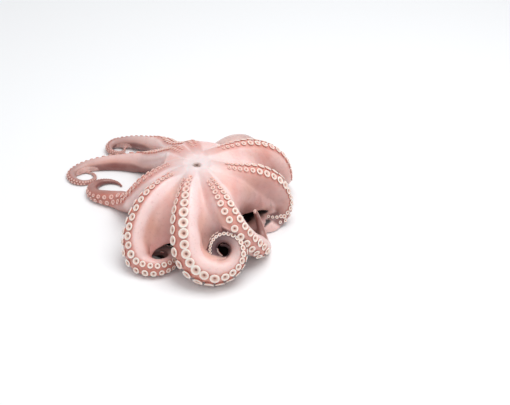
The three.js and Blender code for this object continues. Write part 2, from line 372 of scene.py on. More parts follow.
def web_shell():
    rows, columns = web_middle.shape[:2]
    thickness = np.linspace(WEB_THICKNESS, WEB_MARGIN_THICKNESS, rows)[:, None, None] / 2
    top = (web_middle + web_outward * thickness).reshape(-1, 3)
    bottom = (web_middle - web_outward * thickness).reshape(-1, 3)
    mouth = np.array([MOUTH, MOUTH]) + [[0, 0, WEB_THICKNESS / 2], [0, 0, -WEB_THICKNESS / 2]]
    points = np.vstack([top, bottom, mouth])
    under = rows * columns
    quads, fans = [], []
    for c in range(columns):
        d = (c + 1) % columns
        for r in range(rows - 1):
            quads.append((r * columns + c, (r + 1) * columns + c, (r + 1) * columns + d, r * columns + d))
            quads.append(tuple(under + i for i in reversed(quads[-1])))
        edge = (rows - 1) * columns
        quads.append((edge + c, under + edge + c, under + edge + d, edge + d))
        fans.append((c, d, 2 * under))
        fans.append((under + d, under + c, 2 * under + 1))
    return points, quads, fans


# --- The skin ------------------------------------------------------------------------------------------
# Arms, web, crown, head and mantle bag are one body of flesh under one skin, so they are run together as
# distance fields, with soft fillets where they grow out of each other, and drawn again as a single
# closed surface.

VOXEL = 1.6
BAND = 9.0  # voxels on each side of a surface
FIELD_LOW = np.array([-214.0, -178.0, -6.0])
FIELD_HIGH = np.array([154.0, 232.0, 132.0])
ARM_FILLET = 11.0
CROWN = ((8, 26, 92), (50, 50, 18), 0)  # centre, half sizes, turn about the vertical in degrees
HEAD = ((22, 42, 52), (38, 34, 38), -25)
MANTLE = ((50, 104, 38), (42, 70, 39), -25)
EYES = [(-9, 76, 54), (62, 42, 66)]
EYE_BULGE = 10.5
EYE_FILLET = 7.0
HEAD_FILLET = 14.0
MANTLE_FILLET = 5.0
BODY_TO_ARMS_FILLET = 3.0
LIPS = ((5, -16, 106), (15, 14, 9), 0)
LIP_FILLET = 4.0
GATHERED_WEB = [  # middles and radii of the corner of the web that lies folded beside the front arm's spiral
    ((1, -116, 60), 9), ((5, -124, 49), 9), ((10, -131, 39), 9), ((17, -137, 31), 8.5), ((26, -139, 27), 7.5),
    ((53, -97, 55), 6),
]
BELLY_LIFT = 0.6
BELLY_FILLET = 2.5
MOUTH_DENT = 3.4
MOUTH_DENT_LIFT = 2.0
MOUTH_DENT_FILLET = 5.0
DARK_FLOOR_UNDER_CROWN = [  # dark flesh that closes the hollow under the crown, so that painted shade shows in the web's openings where the table would show through
    ((8, -8, 0), (92, 96, 13), 0), ((102, 8, 4), (26, 30, 15), 0),
]
DARK_FLOOR_FILLET = 6.0
SKIN_TRIANGLES = 190000

low = np.floor(FIELD_LOW / VOXEL).astype(int)
shape = tuple(np.ceil((FIELD_HIGH - FIELD_LOW) / VOXEL).astype(int))


def field_of(points, quads, triangles):
    """Distance to a closed surface at every voxel, negative inside, up to the band's width."""
    grid = openvdb.FloatGrid.createLevelSetFromPolygons(
        np.asarray(points, np.float32),
        triangles=np.asarray(triangles, np.uint32),
        quads=np.asarray(quads, np.uint32),
        transform=openvdb.createLinearTransform(voxelSize=VOXEL),
        halfWidth=BAND,
    )
    field = np.zeros(shape, np.float32)
    grid.copyToArray(field, ijk=tuple(int(v) for v in low))
    return field


def filleted(a, b, width):
    """Two fields run together, with a fillet of that width."""
    overlap = np.maximum(width - np.abs(a - b), 0.0) / width
    return np.minimum(a, b) - overlap * overlap * (width / 4)


def axes():
    x, y, z = (VOXEL * (np.arange(n) + l) for n, l in zip(shape, low))
    return x[:, None, None], y[None, :, None], z[None, None, :]


def bag_field(bag):
    """A turned ellipsoid's field, near enough true close to its surface."""
    centre, sizes, turn = bag
    x, y, z = axes()
    c, s = math.cos(math.radians(turn)), math.sin(math.radians(turn))
    dx, dy = x - centre[0], y - centre[1]
    u, v, w = (dx * c + dy * s) / sizes[0], (dy * c - dx * s) / sizes[1], (z - centre[2]) / sizes[2]
    scaled = np.sqrt(u * u + v * v + w * w)
    slope = np.sqrt((u / sizes[0]) ** 2 + (v / sizes[1]) ** 2 + (w / sizes[2]) ** 2)
    return (scaled * (scaled - 1) / np.maximum(slope, 1e-6)).astype(np.float32)


def all_arms():
    field = None
    for arm in arms:
        one = field_of(*tube(arm))
        field = one if field is None else np.minimum(field, one)
    return field


crown = filleted(field_of(*web_shell()), bag_field(CROWN), ARM_FILLET)
for middle, radius in GATHERED_WEB:
    crown = filleted(crown, bag_field((middle, (radius,) * 3, 0)), ARM_FILLET)
flesh = filleted(crown, all_arms(), ARM_FILLET)
inner = filleted(bag_field(HEAD), bag_field(MANTLE), MANTLE_FILLET)
for eye in EYES:
    inner = filleted(inner, bag_field((eye, (EYE_BULGE,) * 3, 0)), EYE_FILLET)
flesh = filleted(flesh, filleted(inner, bag_field(CROWN), HEAD_FILLET), BODY_TO_ARMS_FILLET)
# The dark floor under the crown gives painted shade in the openings of the web.
for bag in DARK_FLOOR_UNDER_CROWN:
    flesh = filleted(flesh, bag_field(bag), DARK_FLOOR_FILLET)
flesh = filleted(flesh, bag_field(LIPS), LIP_FILLET)
x, y, z = axes()
dent = np.sqrt((x - MOUTH[0]) ** 2 + (y - MOUTH[1]) ** 2 + (z - MOUTH[2] - MOUTH_DENT_LIFT) ** 2) - MOUTH_DENT
flesh = -filleted(-flesh, dent, MOUTH_DENT_FILLET)
flesh = -filleted(-flesh, (z + np.zeros(shape, np.float32)) - BELLY_LIFT, BELLY_FILLET)

drawn = openvdb.FloatGrid(VOXEL * BAND)
drawn.transform = openvdb.createLinearTransform(voxelSize=VOXEL)
drawn.copyFromArray(np.ascontiguousarray(flesh, np.float32), ijk=tuple(int(v) for v in low))
skin_points, skin_triangles, skin_quads = drawn.convertToPolygons(isovalue=0.0, adaptivity=0.0)
skin = mesh_object("skin", skin_points, list(skin_quads) + list(skin_triangles))


def finish_with(piece, kind, **settings):
    """Adds a modifier to a piece and applies it."""
    modifier = piece.modifiers.new(kind.title(), kind)
    for key, value in settings.items():
        setattr(modifier, key, value)
    plain = bpy.data.meshes.new_from_object(piece.evaluated_get(bpy.context.evaluated_depsgraph_get()))
    piece.modifiers.clear()
    rough, piece.data = piece.data, plain
    bpy.data.meshes.remove(rough)
    plain.name = piece.name


finish_with(skin, "SMOOTH", factor=0.5, iterations=3)
triangles = sum(len(p.vertices) - 2 for p in skin.data.polygons)
if triangles > SKIN_TRIANGLES:
    finish_with(skin, "DECIMATE", ratio=SKIN_TRIANGLES / triangles)
skin.data.shade_smooth()


# --- What the skin knows of its place ------------------------------------------------------------------
# The colour of the skin follows the animal: whitish round the mouth, rosy on the web, salmon between the
# suckers, and dark maroon on its outer skin. Painted light goes over it: painted shade, darker and redder
# towards the margin of the web, on the webs and flanks away from the lamps and inside the curls; a painted
# highlight along lit flanks; and nearly black painted shade in the hollow under the crown.

# Each pair is where a tint begins and where it is full, in the measure that the comment gives.
ON_ARM = (1.75, 1.25)  # from the arm's middle line, in radii
SUCKER_BAND = (0.48, 0.78)  # cosine from the sucker side, as in the next four
FLANK_BACK = (-0.55, -0.05)
FLANK_FRONT = (0.80, 0.60)
SHADED_FLANK = (0.75, 0.45)
ABORAL = (-0.50, -0.78)
OFF_TABLE = (1.0, 4.0)  # height
HIGHLIGHT_SIDE = (0.2, -0.4)  # sine from the sucker side, positive towards the arm before
SHADED_SIDE = (0.0, 0.6)
WEB_UNDERSIDE = (-0.10, -0.50)  # cosine from the way that the web faces
ARM_UNDERSIDE = (-0.30, -0.70)
UNDER_THE_SHEET = (1.0, -2.0)  # out from the web's middle
OFF_THE_WEB = (4.0, 9.0)  # from the web's middle
BELOW_CROWN = (102.0, 98.0)  # height
SEEN_BEHIND = (78.0, 98.0)  # towards the back
GATHERED_REACH = 2.2  # in radii
GATHERED_EDGE = 5.0
GATHERED_OUTSIDE = (-0.35, -0.05)  # cosine from the way out
IN_WEB_SHARE = 0.95
IN_WEB_EDGE = 30.0
WEB_SHADE_DOWN = (0.3, 0.9)  # share of the way from the mouth to the margin
SHADED_FLANK_DOWN = (0.0, 0.5)
WEB_SHADE_AND_LIGHT = (0.3, 0.75, -0.6, -0.45, 0.1, 0.5, 1.0, 0.45)  # how much painted shade darkens and reddens the web after each arm; under 0, a pale painted highlight
DEEP_WEB_SHADE = (0.8, 1.0)  # a web shaded as deep as this is shaded from higher up
DEEP_WEB_SHADE_RISE = 0.2
WEB_SHADE_EDGE = 4.0  # how fast that ends beside an arm
ARM_FLANK_SHADE = (0.3, 0.2, 0.5, 0.0, 0.0, 0.2, 0.3, 1.0)  # and how much painted shade darkens the flank of each arm that faces the arm before
# Painted shade inside the curls, on the far turns and at the tips, as strong as each arm's "shade" says.
CURL_INSIDE = (0.62, 0.77)  # share of the arm's length, as in the next two
FAR_TURN = (0.58, 0.78)
DARK_TIP = (0.66, 0.78)
CURL_INSIDE_BACK = (0.1, -0.6)
PALE_REACH = 40.0  # from the mouth, as is the next
LIP_SKIN_AND_DENT_SHADE = (9.0, 5.0)


def rows_of(mesh, name):
    values = np.zeros(len(mesh.vertices) * 3, np.float32)
    mesh.vertices.foreach_get(name, values)
    return values.reshape(-1, 3).astype(float)


def nearest_of(points):
    tree = KDTree(len(points))
    for i, point in enumerate(points):
        tree.insert(point, i)
    tree.balance()
    return tree


def keep(mesh, name, values):
    mesh.attributes.new(name, "FLOAT", "POINT").data.foreach_set("value", np.asarray(values, np.float32))


def fade(x, limits):
    """A soft step from 0 to 1 between two limits, in either order."""
    start, end = limits
    return ease((x - start) / (end - start))


def for_stations(values):
    """One value for each arm, repeated for all its stations."""
    return np.concatenate([np.full(len(arm.s), value) for arm, value in zip(arms, values)])


spots = rows_of(skin.data, "co") / METRE
normals = rows_of(skin.data, "normal")
arm_middle = np.vstack([arm.middle for arm in arms])
arm_radius = np.concatenate([arm.radius for arm in arms])
arm_tree, web_tree = nearest_of(arm_middle), nearest_of(web_middle.reshape(-1, 3))
arm_near = np.array([arm_tree.find(p)[1:] for p in spots])
web_near = np.array([web_tree.find(p)[1:] for p in spots])
arm_i, web_i = arm_near[:, 0].astype(int), web_near[:, 0].astype(int)

arm_facing = np.vstack([arm.suckers for arm in arms])[arm_i]
arm_across = np.vstack([arm.across for arm in arms])[arm_i]
arm_share = np.concatenate([arm.s / arm.length for arm in arms])[arm_i]
arm_in_web = np.concatenate([ease((arm.web * IN_WEB_SHARE - arm.s) / IN_WEB_EDGE) for arm in arms])[arm_i]
curl_shade = for_stations([arm.shade[0] for arm in arms])[arm_i]
tip_shade = for_stations([arm.shade[1] for arm in arms])[arm_i]
arm_tan = for_stations([arm.tan for arm in arms])[arm_i]
arm_flank_shade = for_stations(ARM_FLANK_SHADE)[arm_i]
from_arm = spots - arm_middle[arm_i]
facing = np.sum(unit(from_arm) * arm_facing, axis=1)
sideways = np.sum(unit(from_arm) * arm_across, axis=1)
on_arm = fade(arm_near[:, 1] / arm_radius[arm_i], ON_ARM)
suckered = on_arm * fade(facing, SUCKER_BAND) * fade(spots[:, 2], OFF_TABLE)
# Painted highlight: a pale band down one flank of each arm, where the lamps catch it.
flank_highlight = on_arm * fade(facing, FLANK_BACK) * fade(facing, FLANK_FRONT) * fade(sideways, HIGHLIGHT_SIDE)

web_facing = web_outward.reshape(-1, 3)[web_i]
web_down = np.repeat(np.linspace(0, 1, len(web_middle)), web_middle.shape[1])[web_i]
web_column = web_i % web_middle.shape[1]
web_offset = np.sum((spots - web_middle.reshape(-1, 3)[web_i]) * web_facing, axis=1)
from_arm_line = np.abs((web_column % WEB_COLUMNS + 0.5) / WEB_COLUMNS - 0.5)
# Painted shade: the web darker and redder down towards its margin, where it sinks as a funnel, and on the
# webs and flanks that face away from the lamps; where a web faces them, a pale painted highlight.
web_shade_and_light = np.array(WEB_SHADE_AND_LIGHT)[web_column // WEB_COLUMNS] * ease((0.5 - from_arm_line) * WEB_SHADE_EDGE)
rise = fade(web_shade_and_light, DEEP_WEB_SHADE) * DEEP_WEB_SHADE_RISE
web_valley_shade = np.clip(1 - on_arm * 1.3, 0, 1) * fade(web_down + rise, WEB_SHADE_DOWN) * np.clip(web_shade_and_light, 0, 1)
flank_shade_mask = on_arm * arm_flank_shade * fade(facing, SHADED_FLANK) * fade(sideways, SHADED_SIDE)
flank_shade_mask = flank_shade_mask * fade(web_down, SHADED_FLANK_DOWN)

seen_behind = fade(spots[:, 1], SEEN_BEHIND)
# Painted shade: the web's underside, the back of the arms inside the web and the flesh below the web are the
# hollow, coloured nearly black.
off_the_web = fade(web_near[:, 1], OFF_THE_WEB) * (1 - on_arm) * fade(spots[:, 2], BELOW_CROWN)
under_web = fade(np.sum(normals * web_facing, axis=1), WEB_UNDERSIDE) * (1 - on_arm)
under_web = np.maximum(under_web, off_the_web * fade(web_offset, UNDER_THE_SHEET)) * (1 - seen_behind)
under_arm = on_arm * arm_in_web * fade(np.sum(normals * arm_facing, axis=1), ARM_UNDERSIDE)
gathered = np.zeros(len(spots))
for middle, radius in GATHERED_WEB:
    near = np.linalg.norm(spots - np.array(middle), axis=1)
    gathered = np.maximum(gathered, ease((radius * GATHERED_REACH - near) / GATHERED_EDGE))
gathered *= fade(np.sum(normals * unit(spots - np.array(SPINE_POINT)), axis=1), GATHERED_OUTSIDE)

# Painted shade inside the curl, on its far turn and at the tip.
curl_dark = fade(arm_share, CURL_INSIDE) * fade(facing, CURL_INSIDE_BACK)
curl_dark = np.maximum(curl_dark, fade(arm_share, FAR_TURN)) * curl_shade
curl_dark = np.maximum(curl_dark, fade(arm_share, DARK_TIP) * tip_shade)
mouth_distance = np.linalg.norm(spots - np.array(MOUTH), axis=1)
skin_values = {
    "pale": np.exp(-((mouth_distance / PALE_REACH) ** 2)),
    "suckered": suckered,
    "tan": on_arm * (1 - arm_in_web) * arm_tan,
    "aboral": on_arm * (1 - arm_in_web) * fade(facing, ABORAL),
    "hollow": np.clip(under_web + under_arm, 0, 1) * (1 - gathered),
    "body": off_the_web * seen_behind,
    "tip": arm_share * on_arm,
    "height": spots[:, 2] / MOUTH[2],
    "valley": np.maximum(web_valley_shade, flank_shade_mask),
    "flank": np.maximum(flank_highlight, np.clip(-web_shade_and_light, 0, 1) * (1 - suckered)),
    "curled_in": on_arm * curl_dark,
    "lips": fade(mouth_distance, LIP_SKIN_AND_DENT_SHADE),
}
for name, values in skin_values.items():
    keep(skin.data, name, values)


class Wire:
    """An output of a node tree. Plain arithmetic on wires adds the tree's Math nodes."""

    def __init__(self, tree, socket=None):
        self.tree, self.socket = tree, socket

    def node(self, kind, settings=(), inputs=(), output=0):
        """A new node: its settings first, then the values or wires of its sockets."""
        made = self.tree.nodes.new(kind)
        for key, value in dict(settings).items():
            if key == "stops":
                ramp = made.color_ramp.elements
                while len(ramp) < len(value):
                    ramp.new(0.5)
                for element, (place, color) in zip(ramp, value):
                    element.position, element.color = place, (*color, 1.0)
            elif key == "curve":
                points = made.mapping.curves[0].points
                while len(points) < len(value):
                    points.new(0.5, 0.5)
                for point, place in zip(points, value):
                    point.location = place
                    point.handle_type = "VECTOR"
                made.mapping.update()
            else:
                setattr(made, key, value)
        for key, value in dict(inputs).items():
            if isinstance(value, Wire):
                self.tree.links.new(value.socket, made.inputs[key])
            else:
                made.inputs[key].default_value = value
        return Wire(self.tree, made.outputs[output])

    def math(self, operation, *values, clamp=False):
        return self.node("ShaderNodeMath", {"operation": operation, "use_clamp": clamp}, enumerate(values))

    def __add__(self, other):
        return self.math("ADD", self, other)

    def __sub__(self, other):
        return self.math("SUBTRACT", self, other)

    def __rsub__(self, other):
        return self.math("SUBTRACT", other, self)

    def __mul__(self, other):
        return self.math("MULTIPLY", self, other)

    __radd__, __rmul__ = __add__, __mul__

    def within(self):
        return self.math("ADD", self, 0.0, clamp=True)

    def blend(self, color, other, how="MIX"):
        """This share of the way from one colour to another."""
        mixed = {"data_type": "RGBA", "blend_type": how}
        return self.node("ShaderNodeMix", mixed, {0: self, 6: color, 7: other}, output=2)

    def attribute(self, name, output=2):
        return self.node("ShaderNodeAttribute", {"attribute_name": name}, output=output)

    def noise(self, place, scale, detail=2.0, roughness=0.5):
        sockets = {"Vector": place, "Scale": scale, "Detail": detail, "Roughness": roughness}
        return self.node("ShaderNodeTexNoise", inputs=sockets)


def linear(code):
    """A web colour as the linear values that shaders take."""
    parts = [int(code[i : i + 2], 16) / 255 for i in (1, 3, 5)]
    return tuple(c / 12.92 if c <= 0.04045 else ((c + 0.055) / 1.055) ** 2.4 for c in parts)


def color(code):
    return (*linear(code), 1.0)


def flesh_material(name, subsurface, roughness_coat):
    """A material of wet, slightly translucent flesh, its shader and a wire to build its colours with."""
    made = bpy.data.materials.new(name)
    made.use_nodes = True
    shader = made.node_tree.nodes["Principled BSDF"]
    shader.inputs["Subsurface Weight"].default_value = subsurface
    shader.inputs["Subsurface Radius"].default_value = (1.0, 0.35, 0.25)
    shader.inputs["Subsurface Scale"].default_value = 0.005
    shader.inputs["IOR"].default_value = 1.4
    shader.inputs["Coat Roughness"].default_value = roughness_coat
    shader.inputs["Coat IOR"].default_value = 1.33
    return made, shader, Wire(made.node_tree)


TINTS_UNDER_SUCKERS = [  # where, share at least, what the mottling adds, colour
    ("tip", 0.6, 0.0, "#CB9A89"), ("tan", 0.5, 0.6, "#A96E61"), ("aboral", 0.5, 0.6, "#83504B"),
]
# Painted shade in the web's valleys and inside the curls, then the whitish skin round the mouth.
TINTS_OVER_SUCKERS = [
    ("valley", 0.15, 1.2, "#A0625A"), ("curled_in", 0.7, 0.4, "#5C4146"), ("pale", 1.47, -0.8, "#E3D3D2"),
]

skin_finish, shader, wire = flesh_material("wet_skin", 0.22, 0.16)
place = wire.node("ShaderNodeTexCoord", output=3)
broad = wire.noise(place, 14.0, 3.0)
medium = wire.noise(place, 45.0, 3.0)
fine = wire.noise(place, 240.0, 4.0, 0.6)
grain = wire.noise(place, 700.0, 2.0)
height = wire.attribute("height")


def tinted(under, name, share, mottling, code):
    """A colour with a tint over it where an attribute of the skin says."""
    return (wire.attribute(name) * (share + medium * mottling)).within().blend(under, color(code))


tone = ((broad - 0.5) * 3.0 + (medium - 0.5) * 1.4 + 0.5).within()
peachy = wire.noise(place, 22.0, 2.0)
rosy = tone.blend(color("#E6AAA0"), color("#F8DBD8"))
rosy = ((peachy - 0.45) * 2.6).within().blend(rosy, color("#EBB39D"))
# A painted highlight on lit arm flanks and on the webs that face the lamps.
rosy = tinted(rosy, "flank", 0.65, 0.4, "#FEE6E5")
low_down = ((0.60 - height) * 1.2 + (medium - 0.5) * 1.2).within()
rosy = (low_down * 0.40).blend(rosy, color("#BE8277"))
for tint in TINTS_UNDER_SUCKERS:
    rosy = tinted(rosy, *tint)
salmon = ((fine - 0.35) * 2.0).within().blend(color("#C26C5E"), color("#DE9483"))
rosy = (wire.attribute("suckered") * (0.35 + medium * 0.5)).within().blend(rosy, salmon)
for tint in TINTS_OVER_SUCKERS:
    rosy = tinted(rosy, *tint)
freckled = ((fine - 0.56) * 6.0).within() * 0.22
rosy = (freckled * (1 - wire.attribute("pale"))).within().blend(rosy, color("#A9625A"))
# Greyish lip skin round the mouth, and painted shade in the mouth's dent.
rosy = (wire.attribute("lips") * (0.7 + (fine - 0.5) * 1.5)).within().blend(rosy, color("#8C7068"))
# Nearly black painted shade for the hollow under the crown, over the outer skin's own dark maroon.
hollow_shade_color = ((medium - 0.3) * 1.8).within().blend(color("#140809"), color("#2E1614"))
bag = ((fine * 0.5 + medium * 0.5 - 0.42) * 3.0).within().blend(color("#DDB9B1"), color("#B0827A"))
rosy = wire.attribute("body").blend(rosy, bag)
rosy = wire.attribute("hollow").blend(rosy, hollow_shade_color)
wire.tree.links.new(rosy.socket, shader.inputs["Base Color"])
wire.tree.links.new((0.30 + fine * 0.22).socket, shader.inputs["Roughness"])
wire.tree.links.new((0.55 - wire.attribute("hollow") * 0.35).socket, shader.inputs["Coat Weight"])
bumps = {"Strength": 0.35, "Distance": 0.0012, "Height": fine * 0.7 + grain * 0.3}
wire.tree.links.new(wire.node("ShaderNodeBump", inputs=bumps).socket, shader.inputs["Normal"])
skin.data.materials.clear()
skin.data.materials.append(skin_finish)


# --- The suckers ---------------------------------------------------------------------------------------
# Two alternating rows on every arm, from pin heads beside the mouth to the broad cups halfway, and down
# again to the tip. Each is a short stalk with a swollen pale rim round a shallow dish, and a hole in the
# middle.

SUCKER_SIDES = 12
SUCKER_PROFILE = [  # radius and height up the stalk, over the rim and down into the hole, for a radius of 1
    (0.86, -0.50), (0.74, -0.04), (0.84, 0.16), (1.0, 0.30), (0.98, 0.43), (0.80, 0.47), (0.50, 0.35),
    (0.30, 0.27), (0.22, 0.02),
]
SUCKER_START = 22.0
SUCKER_PITCH = 1.06  # between two of a row, in diameters
SUCKER_ROW_SPREAD = 1.38  # between the middles of the two rows, in diameters
SUCKER_SHARE_AT_ROOT = 0.66  # of the arm's radius
SUCKER_SHARE = 0.80
SUCKER_GROWS_OVER = 110.0
SMALLEST_SUCKER = 1.68  # across
WIDEST_ROW_SINE = 0.75  # how far round an arm a row may lie
SUCKER_LEAN = (0.55, 0.35, 0.6)  # how much it faces out, the way its arm does, and the way the skin does
PROBE_FROM, PROBE_REACH = 14.0, 22.0  # from above the arm's skin down to its middle
LOWEST_SUCKER = 0.003  # metres over the table
FREE_SPACE = 0.004  # metres over the skin
ON_ITS_ARM = (1.3, 1.5)  # a sucker farther off than so many radii and millimetres would be on another part
PINK_SUCKERS = (92.0, 12.0)  # from the root
SUCKER_UNEVENNESS = 0.07
SUCKER_SEED = 8

surface = BVHTree.FromObject(skin, bpy.context.evaluated_depsgraph_get())
cup_places, cup_facings, cup_sizes, cup_roots = [], [], [], []
for arm in arms:
    ridge = arm.middle + arm.suckers * (arm.radius * SUCKER_SIDE)[:, None]
    ridge_length = np.r_[0.0, np.cumsum(np.linalg.norm(np.diff(ridge, axis=0), axis=1))]
    walked = SUCKER_START
    while walked < ridge_length[-1] - 1.0:
        s = float(np.interp(walked, ridge_length, arm.s))
        radius = float(np.interp(s, arm.s, arm.radius))
        grown = float(ease(s / SUCKER_GROWS_OVER))
        share = SUCKER_SHARE_AT_ROOT + (SUCKER_SHARE - SUCKER_SHARE_AT_ROOT) * grown
        diameter = max(radius * share * arm.cup, SMALLEST_SUCKER)
        pitch = diameter / arm.cup * SUCKER_PITCH
        for row, ahead in ((-1, 0.0), (1, 0.5)):
            spot = float(np.interp(walked + ahead * pitch, ridge_length, arm.s))
            middle, up = arm.at(spot, arm.middle), arm.at(spot, arm.suckers)
            side = arm.at(spot, arm.across)
            angle = math.asin(min(SUCKER_ROW_SPREAD / 2 * diameter / radius, WIDEST_ROW_SINE)) * row
            way = unit(up * math.cos(angle) + side * math.sin(angle))
            start = Vector((middle + way * (radius + PROBE_FROM)) * METRE)
            hit, normal, _, gap = surface.ray_cast(start, Vector(-way), (radius + PROBE_REACH) * METRE)
            if hit is None or hit.z < LOWEST_SUCKER or gap < FREE_SPACE:
                continue
            if np.linalg.norm(np.array(hit) / METRE - middle) > radius * ON_ITS_ARM[0] + ON_ITS_ARM[1]:
                continue
            lean = Vector(way) * SUCKER_LEAN[0] + Vector(up) * SUCKER_LEAN[1] + normal * SUCKER_LEAN[2]
            cup_places.append(tuple(hit))
            cup_facings.append(tuple(lean.normalized()))
            cup_sizes.append(diameter * METRE / 2)
            cup_roots.append(max(arm.blush, float(fade(s, PINK_SUCKERS))))
        walked += pitch

cup_points = bpy.data.meshes.new("sucker_places")
cup_points.from_pydata(cup_places, [], [])
facings = cup_points.attributes.new("facing", "FLOAT_VECTOR", "POINT")
facings.data.foreach_set("vector", np.ravel(cup_facings))
keep(cup_points, "size", cup_sizes)
keep(cup_points, "root", cup_roots)
suckers = link(bpy.data.objects.new("suckers", cup_points))

sucker_finish, shader, wire = flesh_material("sucker_flesh", 0.15, 0.12)
along = wire.attribute("profile")
shade = wire.attribute("shade")
place = wire.node("ShaderNodeTexCoord", output=3)
mottle = wire.noise(place, 320.0, 3.0)
# The foot of the stalk is dark red: its own colour, made darker still as painted shade under the rim.
stops = [
    (0.0, linear("#B4655A")), (0.18, linear("#C27A6E")), (0.29, linear("#E6BFB2")), (0.38, linear("#F8EFE6")),
    (0.66, linear("#F7EBE1")), (0.73, linear("#E8CABD")), (0.84, linear("#DFBBAD")),
    (0.94, linear("#CBA294")),
    (1.0, linear("#9C7268")),
]
ringed = wire.node("ShaderNodeValToRGB", {"stops": stops}, {"Fac": along})
ringed = ((shade * 0.4 + mottle - 0.5) * 0.4).within().blend(ringed, color("#D99B8C"))
ringed = (wire.attribute("root") * (0.25 + mottle * 0.7)).within().blend(ringed, color("#E2A398"))
wire.tree.links.new(ringed.socket, shader.inputs["Base Color"])
wire.tree.links.new((0.28 + mottle * 0.25).socket, shader.inputs["Roughness"])
shader.inputs["Coat Weight"].default_value = 0.4
bumps = {"Strength": 0.25, "Distance": 0.0006, "Height": mottle}
wire.tree.links.new(wire.node("ShaderNodeBump", inputs=bumps).socket, shader.inputs["Normal"])

tree = bpy.data.node_groups.new("sucker_rows", "GeometryNodeTree")
sockets = {}
for name, kind, value in (
    ("Geometry", "NodeSocketGeometry", None), ("Sides", "NodeSocketInt", SUCKER_SIDES),
    ("Bands", "NodeSocketInt", len(SUCKER_PROFILE) - 1), ("Unevenness", "NodeSocketFloat", SUCKER_UNEVENNESS),
    ("Seed", "NodeSocketInt", SUCKER_SEED), ("Finish", "NodeSocketMaterial", sucker_finish),
):
    sockets[name] = (tree.interface.new_socket(name, in_out="INPUT", socket_type=kind).identifier, value)
tree.interface.new_socket("Geometry", in_out="OUTPUT", socket_type="NodeSocketGeometry")
given = tree.nodes.new("NodeGroupInput")
given = {name: Wire(tree, given.outputs[name]) for name in sockets}
wire = Wire(tree)
barrel_sockets = {"Vertices": given["Sides"], "Side Segments": given["Bands"], "Radius": 1.0, "Depth": 1.0}
barrel = wire.node("GeometryNodeMeshCylinder", {"fill_type": "TRIANGLE_FAN"}, barrel_sockets)
corner = wire.node("GeometryNodeInputPosition")
split = wire.node("ShaderNodeSeparateXYZ", inputs={0: corner})
x_part, y_part, z_part = (Wire(tree, split.socket.node.outputs[k]) for k in range(3))
up_share = z_part + 0.5
steps = [k / (len(SUCKER_PROFILE) - 1) for k in range(len(SUCKER_PROFILE))]
width_curve = [(t, r) for t, (r, _) in zip(steps, SUCKER_PROFILE)]
height_curve = [(t, h + 0.5) for t, (_, h) in zip(steps, SUCKER_PROFILE)]
widths = wire.node("ShaderNodeFloatCurve", {"curve": width_curve}, {"Value": up_share})
heights = wire.node("ShaderNodeFloatCurve", {"curve": height_curve}, {"Value": up_share})
profile_place = {0: x_part * widths, 1: y_part * widths, 2: heights - 0.5}
turned_place = wire.node("ShaderNodeCombineXYZ", inputs=profile_place)
barrel = wire.node("GeometryNodeStoreNamedAttribute", {"data_type": "FLOAT", "domain": "POINT"},
                   {"Geometry": barrel, "Name": "profile", "Value": up_share})
cup = wire.node("GeometryNodeSetPosition", inputs={"Geometry": barrel, "Position": turned_place})
facing_wire = wire.node("GeometryNodeInputNamedAttribute", {"data_type": "FLOAT_VECTOR"}, {"Name": "facing"})
size_wire = wire.node("GeometryNodeInputNamedAttribute", {"data_type": "FLOAT"}, {"Name": "size"})
aim = wire.node("FunctionNodeAlignRotationToVector", {"axis": "Z"}, {"Vector": facing_wire})
random_sockets = {2: 1 - given["Unevenness"], 3: 1 + given["Unevenness"], "Seed": given["Seed"]}
uneven = wire.node("FunctionNodeRandomValue", {"data_type": "FLOAT"}, random_sockets, output=1)
placed = {"Points": given["Geometry"], "Instance": cup, "Rotation": aim, "Scale": size_wire * uneven}
rows = wire.node("GeometryNodeInstanceOnPoints", inputs=placed)
shade_range = {2: 0.0, 3: 1.0, "Seed": given["Seed"] + 1}
shades = wire.node("FunctionNodeRandomValue", {"data_type": "FLOAT"}, shade_range, 1)
rows = wire.node("GeometryNodeStoreNamedAttribute", {"data_type": "FLOAT", "domain": "INSTANCE"},
                 {"Geometry": rows, "Name": "shade", "Value": shades})
rows = wire.node("GeometryNodeRealizeInstances", inputs={"Geometry": rows})
rows = wire.node("GeometryNodeSetShadeSmooth", inputs={"Geometry": rows})
rows = wire.node("GeometryNodeSetMaterial", inputs={"Geometry": rows, "Material": given["Finish"]})
tree.links.new(rows.socket, tree.nodes.new("NodeGroupOutput").inputs[0])

grower = suckers.modifiers.new("Rows", "NODES")
grower.node_group = tree
for identifier, value in sockets.values():
    if value is not None:
        grower[identifier] = value
grown = bpy.data.meshes.new_from_object(suckers.evaluated_get(bpy.context.evaluated_depsgraph_get()))
suckers.modifiers.clear()
suckers.data = grown
bpy.data.meshes.remove(cup_points)


# --- The mouth -----------------------------------------------------------------------------------------
# A ring of small fleshy folds on top of the crown, and in it the tips of the horny dark beak, the lower
# jaw outside the upper one like a parrot's the wrong way up.

LIP_RING = 2.9
LIP_THICKNESS = 1.5
LIP_FOLDS = 20
LIP_FOLD_DEPTH = 0.35
LIP_LIFT = 1.4
BEAK_JAWS = [  # way it leans out, length, half width, hook
    (0.0, 5.4, 1.5, 2.4),
    (math.pi, 4.6, 1.3, 2.0),
]
BEAK_BASE = -3.6
JAW_FLATNESS = 0.55


